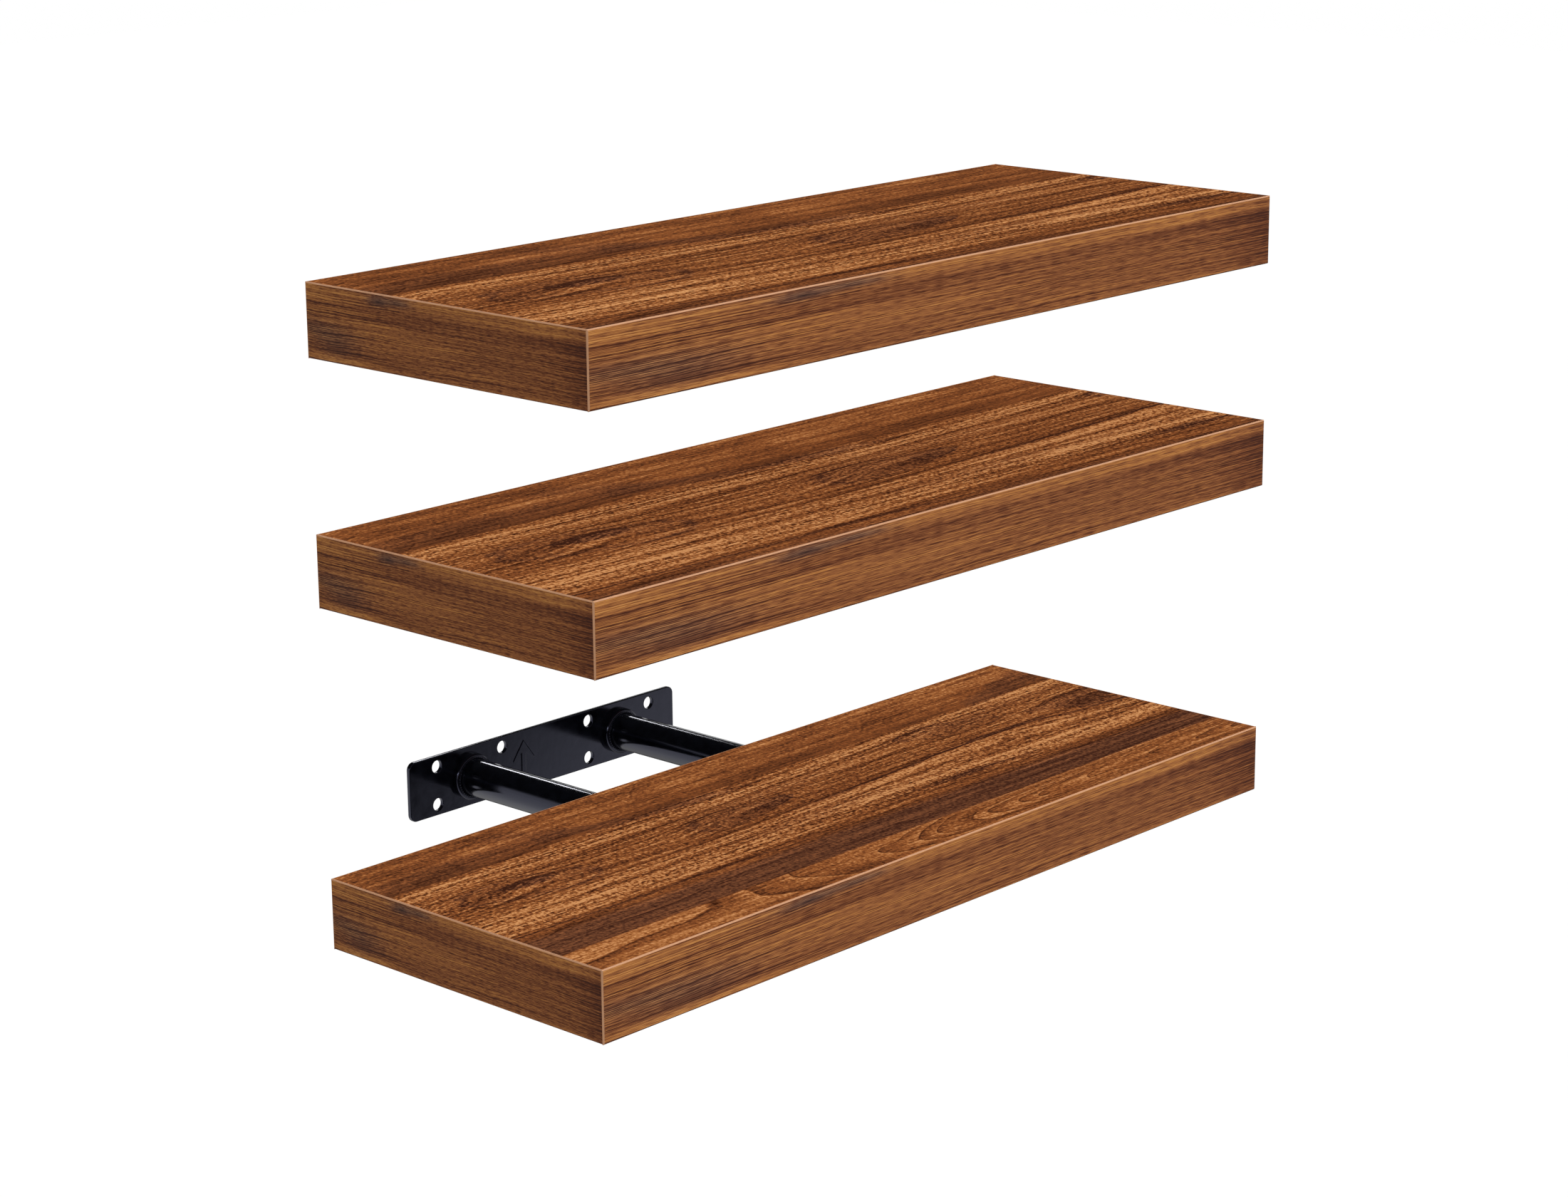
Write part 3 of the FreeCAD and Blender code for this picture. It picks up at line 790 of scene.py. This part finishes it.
# Melamine paper with a walnut print, on fibreboard: a satin brown with nothing glossy in it, where
# dark ring lines, smudges and light streaks follow the grain and fine pores break it up. The faint
# pressed texture only roughens it.
def walnut_decor(name, scale_x, scale_y, lightness_and_shade, left, back):
    """The printed and textured skin; left and back are the board's corner in millimetres."""
    material, tree, shader, place = new_material(name)
    node = functools.partial(add_node, tree)
    with_grain = functools.partial(with_noise, tree)

    laid = node("ShaderNodeMapping", {
        "Vector": place.outputs["Object"], "Location": (-left / scale_x, back / scale_y, 0.0),
        "Scale": (1 / (MM * scale_x), -1 / (MM * scale_y), 0.0)})
    axes = node(SEPARATE, {0: laid})
    u, v = axes.outputs["X"], axes.outputs["Y"]
    in_front = node(MATH, {0: v, 1: LAMELLA_JOINTS[1]}, operation="GREATER_THAN")
    in_back = node(MATH, {0: v, 1: LAMELLA_JOINTS[0]}, operation="LESS_THAN")
    in_middle = node(MATH, {0: 1.0, 1: node(MATH, {0: in_front, 1: in_back}, operation="ADD")},
                     operation="SUBTRACT")

    # the grain's own depth: slow waves and the swirls bend it away from the straight depth v; the
    # light and dark bands follow the one field, and the rings the other
    crooked = node(COMBINE, {
        0: with_grain(u, CROOKED_ALONG, u, v), 1: with_grain(v, CROOKED_ACROSS, u, v)})
    bands = with_grain(v, BANDS_WANDER, u, v)
    rise_above = 0.0
    shadow = 0.0
    for x, y, long, high, tilt, taper, apart, lift, rise, dark, soft in SWIRLS:
        near = node("ShaderNodeMapping", {
            "Vector": crooked, "Location": (x, y, 0), "Rotation": (0, 0, math.radians(tilt)),
            "Scale": (long, high, 1)}, vector_type="TEXTURE")
        side = node(SEPARATE, {0: near}) if taper or apart or lift else None
        if taper:
            narrow = node(MATH, {0: side.outputs["X"], 1: -taper, 2: 1.0}, operation="MULTIPLY_ADD")
            narrow = node(MATH, {0: narrow, 1: NARROWEST}, operation="MAXIMUM")
            near = node(COMBINE, {0: side.outputs["X"], 1: node(
                MATH, {0: side.outputs["Y"], 1: narrow}, operation="DIVIDE")})
        away = node("ShaderNodeVectorMath", {0: near}, operation="LENGTH")
        if apart or lift or rise:
            swell = node(MATH, {0: BELL, 1: node(MATH, {0: away, 1: 2.0}, operation="POWER")},
                         operation="POWER")
        if apart or lift:
            pushed = node(MATH, {0: side.outputs["Y"], 1: -apart, 2: lift}, operation="MULTIPLY_ADD")
            bands = node(MATH, {0: pushed, 1: swell, 2: bands}, operation="MULTIPLY_ADD")
        if rise:
            outline = node(MATH, {0: away, 1: 1.0}, operation="SUBTRACT")
            outline = node("ShaderNodeMapRange", {
                "Value": node(MATH, {0: outline}, operation="ABSOLUTE"),
                "From Min": 0.0, "From Max": OUTLINE_WIDTH, "To Min": OUTLINE_DARK, "To Max": 0.0})
            shadow = node(MATH, {0: shadow, 1: outline}, operation="ADD")
            rise_above = node(MATH, {0: swell, 1: rise, 2: rise_above}, operation="MULTIPLY_ADD")
        if dark:
            shadow = node(MATH, {0: shadow, 1: node("ShaderNodeMapRange", {
                "Value": away, "From Min": 1 + soft, "From Max": 1 - soft, "To Max": dark},
                interpolation_type="SMOOTHSTEP")}, operation="ADD")
    rings = node(MATH, {0: bands, 1: rise_above}, operation="ADD")
    depth = node("ShaderNodeMix", {0: in_middle, 2: v, 3: bands}, data_type="FLOAT")
    depth = node(MATH, {0: depth, 1: node(MATH, {0: in_middle, 1: LAMELLA_JOINTS[0] + 1},
                                          operation="MULTIPLY")}, operation="MAXIMUM")
    cut = node("ShaderNodeValToRGB", {0: node(MATH, {0: depth, 1: DECOR_DEPTH}, operation="DIVIDE")},
               stops=greys(CUT, DECOR_DEPTH))

    # the arches in the crown cut, and left of them the rings that run along the board
    bend = node(MATH, {0: u, 1: ARCH_BEND_FROM}, operation="SUBTRACT")
    bend = node(MATH, {0: bend, 1: 0.0}, operation="MAXIMUM")
    bend = node(MATH, {0: bend, 1: ARCH_BEND_GROWTH, 2: ARCH_BEND}, operation="MULTIPLY_ADD")
    middle = node("ShaderNodeMapRange", {
        "Value": u, "From Min": ARCH_COMES_FORWARD[0], "From Max": ARCH_COMES_FORWARD[1],
        "To Min": ARCH_MIDDLE - ARCH_SET_BACK, "To Max": ARCH_MIDDLE}, interpolation_type="SMOOTHSTEP")
    middle = with_grain(middle, CROWN_WANDERS, u, v)
    off = node(MATH, {0: v, 1: middle}, operation="SUBTRACT")
    off = node(MATH, {0: off, 1: off}, operation="MULTIPLY")
    arch = node(MATH, {0: u, 1: node(MATH, {0: bend, 1: off}, operation="MULTIPLY")}, operation="SUBTRACT")
    along = node(MATH, {0: u, 1: ASLANT_ALONG, 2: ASLANT_START}, operation="MULTIPLY_ADD")
    along = node(MATH, {0: v, 1: ASLANT_ACROSS, 2: along}, operation="MULTIPLY_ADD")
    crossing = node("ShaderNodeMapRange", {
        "Value": u, "From Min": ASLANT_ENDS[0], "From Max": ASLANT_ENDS[1]},
        interpolation_type="SMOOTHSTEP")
    arch = node("ShaderNodeMix", {0: crossing, 2: along, 3: arch}, data_type="FLOAT")
    arch = with_grain(arch, ARCHES_WANDER, u, v)
    arch = with_grain(node(MATH, {0: arch, 1: ARCH_PITCH}, operation="DIVIDE"), ARCHES_VARY, arch, v)
    wild = node(MATH, {0: u, 1: WILD_PITCH}, operation="DIVIDE")
    wild = with_grain(wild, WILD_RINGS_WANDER, u, v)
    straight = node(MATH, {0: rings, 1: RING_PITCH}, operation="DIVIDE")
    straight = with_grain(straight, RINGS_VARY, u, rings)
    # annual rings: each one starts with a thin dark line and lightens slowly
    ring = node("ShaderNodeMix", {0: in_front, 2: straight, 3: arch}, data_type="FLOAT")
    ring = node("ShaderNodeMix", {0: in_back, 2: ring, 3: wild}, data_type="FLOAT")
    late = node("ShaderNodeValToRGB", {0: node(MATH, {0: ring}, operation="FRACT")},
                stops=greys(RING_TONES))
    # they are strongest in the crown cut, and come and go in the others
    presence = node("ShaderNodeMapRange", {
        "Value": with_grain(0.0, RINGS_COME_AND_GO, u, v),
        "From Min": -COME_AND_GO_EDGE, "From Max": COME_AND_GO_EDGE,
        "To Min": MIDDLE_RINGS_SHOW[0], "To Max": MIDDLE_RINGS_SHOW[1]})
    presence = node("ShaderNodeMix", {0: in_front, 2: presence, 3: CROWN_RINGS_SHOW}, data_type="FLOAT")
    presence = node("ShaderNodeMix", {0: in_back, 2: presence, 3: WILD_RINGS_SHOW}, data_type="FLOAT")
    late = node(MATH, {0: late, 1: 0.5}, operation="SUBTRACT")
    tone = node(MATH, {0: cut, 1: shadow}, operation="SUBTRACT")
    tone = node(MATH, {0: late, 1: presence, 2: tone}, operation="MULTIPLY_ADD")

    # broad and fine streaks that follow the grain
    streaks = with_grain(0.0, BROAD_STREAKS, u, rings)
    streaks = with_grain(streaks, FINE_STREAKS, u, rings)
    # dark wood and the two outer lamellas are calmer
    vivid = node(MATH, {
        0: node(MATH, {0: cut, 1: VIVID_GROWTH, 2: VIVID_LEAST}, operation="MULTIPLY_ADD"),
        1: node(MATH, {0: in_middle, 1: 1 - OUTER_VIVID, 2: OUTER_VIVID}, operation="MULTIPLY_ADD")},
        operation="MULTIPLY")
    tone = node(MATH, {0: streaks, 1: vivid, 2: tone}, operation="MULTIPLY_ADD")
    # cloudy colour in the back lamella
    clouds = node(MATH, {0: with_grain(0.0, CLOUDS, u, v), 1: in_back}, operation="MULTIPLY")
    tone = node(MATH, {0: clouds, 1: tone}, operation="ADD")
    # the butted end of the dark strip
    after = node(MATH, {0: u, 1: BUTT_JOINT_AT[0]}, operation="GREATER_THAN")
    below = node(MATH, {0: depth, 1: BUTT_JOINT_AT[1]}, operation="GREATER_THAN")
    after = node(MATH, {0: after, 1: node(MATH, {0: below, 1: in_middle}, operation="MULTIPLY")},
                 operation="MULTIPLY")
    tone = node(MATH, {0: after, 1: -BUTT_JOINT_DARK, 2: tone}, operation="MULTIPLY_ADD")

    # pores and speckle, straight along the board
    pores = node("ShaderNodeMapRange", {
        "Value": with_grain(0.0, (1.0, PORE_LENGTH / scale_x, PORE_WIDTH / scale_y, 1.0), u, rings),
        "From Min": PORE_EDGE[0], "From Max": PORE_EDGE[1], "To Min": 0.0, "To Max": -PORE_DARK})
    pressed = with_grain(0.0, (1.0, SPECKLE_LENGTH / scale_x, SPECKLE_WIDTH / scale_y, 2.0), u, v)
    speckle = node(MATH, {0: pressed, 1: SPECKLE_STRENGTH, 2: pores}, operation="MULTIPLY_ADD")
    tone = node(MATH, {0: speckle, 1: vivid, 2: tone}, operation="MULTIPLY_ADD")
    # the print's lightness, and on the upper board painted shade as well
    tone = node(MATH, {0: tone, 1: lightness_and_shade}, operation="ADD")

    colour = node("ShaderNodeValToRGB", {0: tone}, stops=tones(PRINT_TONES))
    # the darkest wood and the smudges have a purple cast
    cast = node("ShaderNodeMapRange", {
        "Value": cut, "From Min": PLUM_BELOW[0], "From Max": PLUM_BELOW[1]})
    cast = node(MATH, {0: cast, 1: in_middle}, operation="MULTIPLY")
    cast = node(MATH, {0: shadow, 1: PLUM_IN_SMUDGES, 2: cast}, operation="MULTIPLY_ADD", use_clamp=True)
    plum = node("ShaderNodeValToRGB", {0: tone}, stops=tones(PLUM_TONES))
    colour = node("ShaderNodeMix", {0: cast, 6: colour.outputs[0], 7: plum.outputs[0]}, data_type="RGBA")
    bump = node("ShaderNodeBump", {
        "Strength": DECOR_BUMP, "Distance": DECOR_BUMP_DEPTH, "Height": pressed})
    tree.links.new(colour.outputs[2], shader.inputs["Base Color"])
    tree.links.new(bump.outputs[0], shader.inputs["Normal"])
    shader.inputs["Roughness"].default_value = 0.55
    shader.inputs["Specular IOR Level"].default_value = 0.0
    return material


for shelf in SHELVES:
    low, high = (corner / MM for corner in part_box(f"{shelf}_top_panel"))
    decor = walnut_decor(f"{shelf}_walnut_decor", *DECOR[shelf], left=low.x, back=high.y)
    for part in ("top_panel", "bottom_panel"):
        dress(f"{shelf}_{part}", decor)


# ---- Edge bands ----
# Printed ABS strip, hot-glued round the board and trimmed at 45 degrees. The print is only on
# its face, so the trimmed edges show the plain tan plastic as a light line round the board. The
# bottom edge is given the darker print instead, as painted shade.

BAND_LENGTH, BAND_HEIGHT = 610.0, 44.0
# how light the print is from the top edge down, in mm
BAND_CUT = (
    (0, 0.69), (3.5, 0.67), (7, 0.57), (10, 0.46), (14, 0.39), (19, 0.45), (26, 0.50), (33, 0.46),
    (38, 0.41), (41, 0.50), (44, 0.57),
)
# smudges and light patches: place along the band and down it, half sizes, how much darker and
# how much colder
BAND_MARKS = (
    (167, 4, 24, 3.0, 0.36, 1.0),
    (212, 3.5, 26, 2.2, 0.30, 0.9),
    (70, 31, 48, 8, 0.18, 0.5),
    (20, 25, 44, 5, 0.14, 0.4),
    (80, 42.5, 100, 2.0, -0.20, 0.0),
    (60, 6, 110, 5, -0.11, 0.0),
    (330, 4.5, 90, 1.6, -0.09, 0.0),
    (530, 10.5, 70, 1.8, 0.18, 0.0),
    (618, 22, 50, 60, 0.22, 0.0),
    (270, 30, 60, 5, -0.07, 0.0),
    (400, 24, 70, 4, 0.07, 0.0),
)
# unevenness in the print: how strong, how long and wide in mm, and how much detail it has
BAND_WANDERS = (0.8, 170, 30, 2.0)
BAND_STREAKS, BAND_BROAD_STREAKS = (0.35, 240, 0.5, 2.0), (0.16, 400, 3.2, 2.0)
BAND_DASHES, DASH_EDGE, DASH_DARK = (1.0, 16, 0.7, 1.0), (0.05, 0.4), 0.20
BAND_FLECKS = (0.16, 9.0, 0.5, 2.0)
# from where to where the streaks calm down along the band, and how bold they are at both
BOLD_U, BOLDNESS = (40.0, 230.0), (1.7, 0.85)
BAND_TONES = (
    (0.0, "#43241A"), (0.15, "#5A321F"), (0.30, "#714128"), (0.45, "#885432"), (0.58, "#9B633A"),
    (0.75, "#B2753D"), (1.0, "#C98F52"),
)
COLD_TONES = ((0.0, "#3A2823"), (0.30, "#634437"), (0.58, "#8B654B"), (1.0, "#B98F68"))
CORE_COLOUR = "#C29270"
# a face is trimmed where less of its normal than this points straight out of the band, and it is
# the bottom one, which keeps the darker print instead of the core as painted shade, where its
# normal dips below this
TRIMMED_BELOW, SHADED_BOTTOM_BELOW = 0.9, -0.3
BAND_BUMP, BAND_BUMP_DEPTH = 0.3, 0.0001


# ABS with a walnut print, coated in clear satin lacquer: brown lines in layers from the top edge
# down, straighter and finer than on the skins, with hardly any gloss.
def walnut_band(name, along, start, step, top):
    """The band's print; it runs along X or Y from start, step is one print mm in board mm."""
    material, tree, shader, place = new_material(name)
    node = functools.partial(add_node, tree)
    with_grain = functools.partial(with_noise, tree)
    location, scale = [0.0, 0.0, top], [0.0, 0.0, -1 / MM]
    location["XY".index(along)], scale["XY".index(along)] = -start / step, 1 / (MM * step)
    laid = node("ShaderNodeMapping", {
        "Vector": place.outputs["Object"], "Location": location, "Scale": scale})
    axes = node(SEPARATE, {0: laid})
    u, down = axes.outputs[along], axes.outputs["Z"]
    v = with_grain(down, BAND_WANDERS, u, down)
    tone = node("ShaderNodeValToRGB", {0: node(MATH, {0: down, 1: BAND_HEIGHT}, operation="DIVIDE")},
                stops=greys(BAND_CUT, BAND_HEIGHT))
    smudge = 0.0
    for x, y, long, high, dark, cold in BAND_MARKS:
        near = node("ShaderNodeMapping", {
            "Vector": node(COMBINE, {0: u, 1: v}), "Location": (x, y, 0), "Scale": (long, high, 1)},
            vector_type="TEXTURE")
        square = node("ShaderNodeVectorMath", {0: near, 1: near}, operation="DOT_PRODUCT")
        swell = node(MATH, {0: BELL, 1: square.outputs["Value"]}, operation="POWER")
        tone = node(MATH, {0: swell, 1: -dark, 2: tone}, operation="MULTIPLY_ADD")
        if cold:
            smudge = node(MATH, {0: swell, 1: cold, 2: smudge}, operation="MULTIPLY_ADD")
    # the streaks are bolder towards the end that starts the print
    bold = node("ShaderNodeMapRange", {
        "Value": u, "From Min": BOLD_U[0], "From Max": BOLD_U[1],
        "To Min": BOLDNESS[0], "To Max": BOLDNESS[1]})
    streaks = with_grain(0.0, BAND_STREAKS, u, v)
    streaks = with_grain(streaks, BAND_BROAD_STREAKS, u, v)
    tone = node(MATH, {0: streaks, 1: bold, 2: tone}, operation="MULTIPLY_ADD")
    dashes = node("ShaderNodeMapRange", {
        "Value": with_grain(0.0, BAND_DASHES, u, v), "From Min": DASH_EDGE[0], "From Max": DASH_EDGE[1]})
    tone = node(MATH, {0: dashes, 1: -DASH_DARK, 2: tone}, operation="MULTIPLY_ADD")
    tone = with_grain(tone, BAND_FLECKS, u, v)
    print_tone = node("ShaderNodeValToRGB", {0: tone}, stops=tones(BAND_TONES))
    # the smudges have a cold cast
    cold_print = node("ShaderNodeValToRGB", {0: tone}, stops=tones(COLD_TONES))
    cast = node(MATH, {0: smudge, 1: 1.0}, operation="MINIMUM")
    print_tone = node("ShaderNodeMix", {
        0: cast, 6: print_tone.outputs[0], 7: cold_print.outputs[0]}, data_type="RGBA")
    # the core shows where the strip is trimmed; the bottom edge keeps the darker print, as painted shade
    normal = node(SEPARATE, {0: place.outputs["Normal"]})
    facing = node(MATH, {0: normal.outputs["Y" if along == "X" else "X"]}, operation="ABSOLUTE")
    trimmed = node(MATH, {0: facing, 1: TRIMMED_BELOW}, operation="LESS_THAN")
    above = node(MATH, {0: normal.outputs["Z"], 1: SHADED_BOTTOM_BELOW}, operation="GREATER_THAN")
    colour = node("ShaderNodeMix", {
        0: node(MATH, {0: trimmed, 1: above}, operation="MULTIPLY"),
        6: print_tone.outputs[2], 7: linear(CORE_COLOUR)}, data_type="RGBA")
    bump = node("ShaderNodeBump", {"Strength": BAND_BUMP, "Distance": BAND_BUMP_DEPTH, "Height": tone})
    tree.links.new(colour.outputs[2], shader.inputs["Base Color"])
    tree.links.new(bump.outputs[0], shader.inputs["Normal"])
    shader.inputs["Roughness"].default_value = 0.55
    shader.inputs["Specular IOR Level"].default_value = 0.05
    return material


for shelf in SHELVES:
    low, high = (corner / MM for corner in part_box(f"{shelf}_front_edge_band"))
    back_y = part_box(f"{shelf}_back_edge_band")[1].y / MM
    side_step = (low.y - back_y) / BAND_LENGTH
    for part, along, start, step in (
        ("front", "X", low.x, 1.0), ("back", "X", high.x, -1.0),
        ("left", "Y", back_y, side_step), ("right", "Y", back_y, side_step),
    ):
        band = walnut_band(f"{shelf}_{part}_abs_band", along, start, step, high.z)
        dress(f"{shelf}_{part}_edge_band", band)
